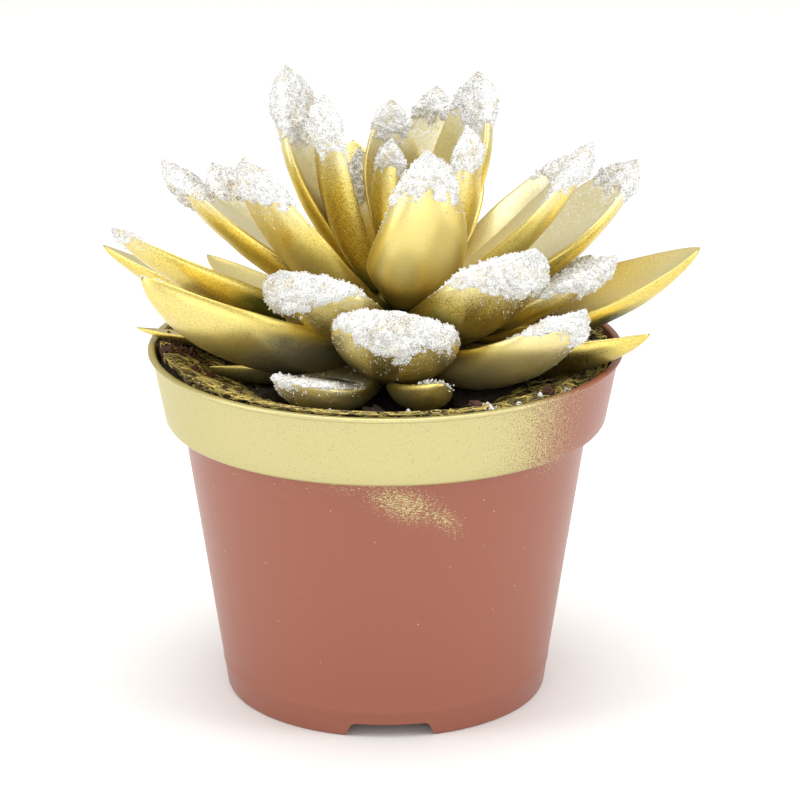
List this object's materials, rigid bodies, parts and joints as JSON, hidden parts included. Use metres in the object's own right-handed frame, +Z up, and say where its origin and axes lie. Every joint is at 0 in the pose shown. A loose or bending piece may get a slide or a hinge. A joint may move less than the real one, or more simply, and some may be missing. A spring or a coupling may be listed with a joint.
{
  "type": "potted succulent",
  "caption": "Small rosette succulent sprayed gold and tipped with artificial snow, in a thin terracotta-coloured plastic nursery pot of soil.",
  "frame": {"origin": "middle of the base of the part's bounding box, on the surface the pot stands on; the pot's axis is 2.1 mm to -X and 2.6 mm to -Y of it", "axes": "+Z up along the pot's axis, -Y towards the picture's camera, +X to the right"},
  "size_m": [0.1126, 0.0952, 0.1213],
  "materials": {
    "terracotta_plastic": "thin semi-gloss terracotta plastic, the rim sprayed pale gold over its front and left, fading to specks at the right",
    "peat_with_coir": "dark brown peat with curly coir fibres, matt",
    "gold_sprayed_leaf": "satin metallic gold spray with a fine grain over a fleshy leaf",
    "artificial_snow": "white crumbly grains stuck in a crust, matt"
  },
  "bodies": {
    "root": {"pot": "terracotta_plastic", "rosette": "gold_sprayed_leaf", "snow_crown_1": "artificial_snow", "snow_crown_2": "artificial_snow", "snow_crown_3": "artificial_snow", "snow_crown_4": "artificial_snow", "snow_crown_5": "artificial_snow", "snow_crown_6": "artificial_snow", "snow_crown_7": "artificial_snow", "snow_crown_8": "artificial_snow", "snow_heart_1": "artificial_snow", "snow_middle_1": "artificial_snow", "snow_middle_10": "artificial_snow", "snow_middle_11": "artificial_snow", "snow_middle_12": "artificial_snow", "snow_middle_2": "artificial_snow", "snow_middle_3": "artificial_snow", "snow_middle_4": "artificial_snow", "snow_middle_5": "artificial_snow", "snow_middle_6": "artificial_snow", "snow_middle_9": "artificial_snow", "snow_outer_14": "artificial_snow", "snow_outer_18": "artificial_snow", "snow_outer_2": "artificial_snow", "snow_outer_5": "artificial_snow", "snow_outer_7": "artificial_snow", "snow_outer_9": "artificial_snow", "soil": "peat_with_coir"}
  },
  "joints": []
}
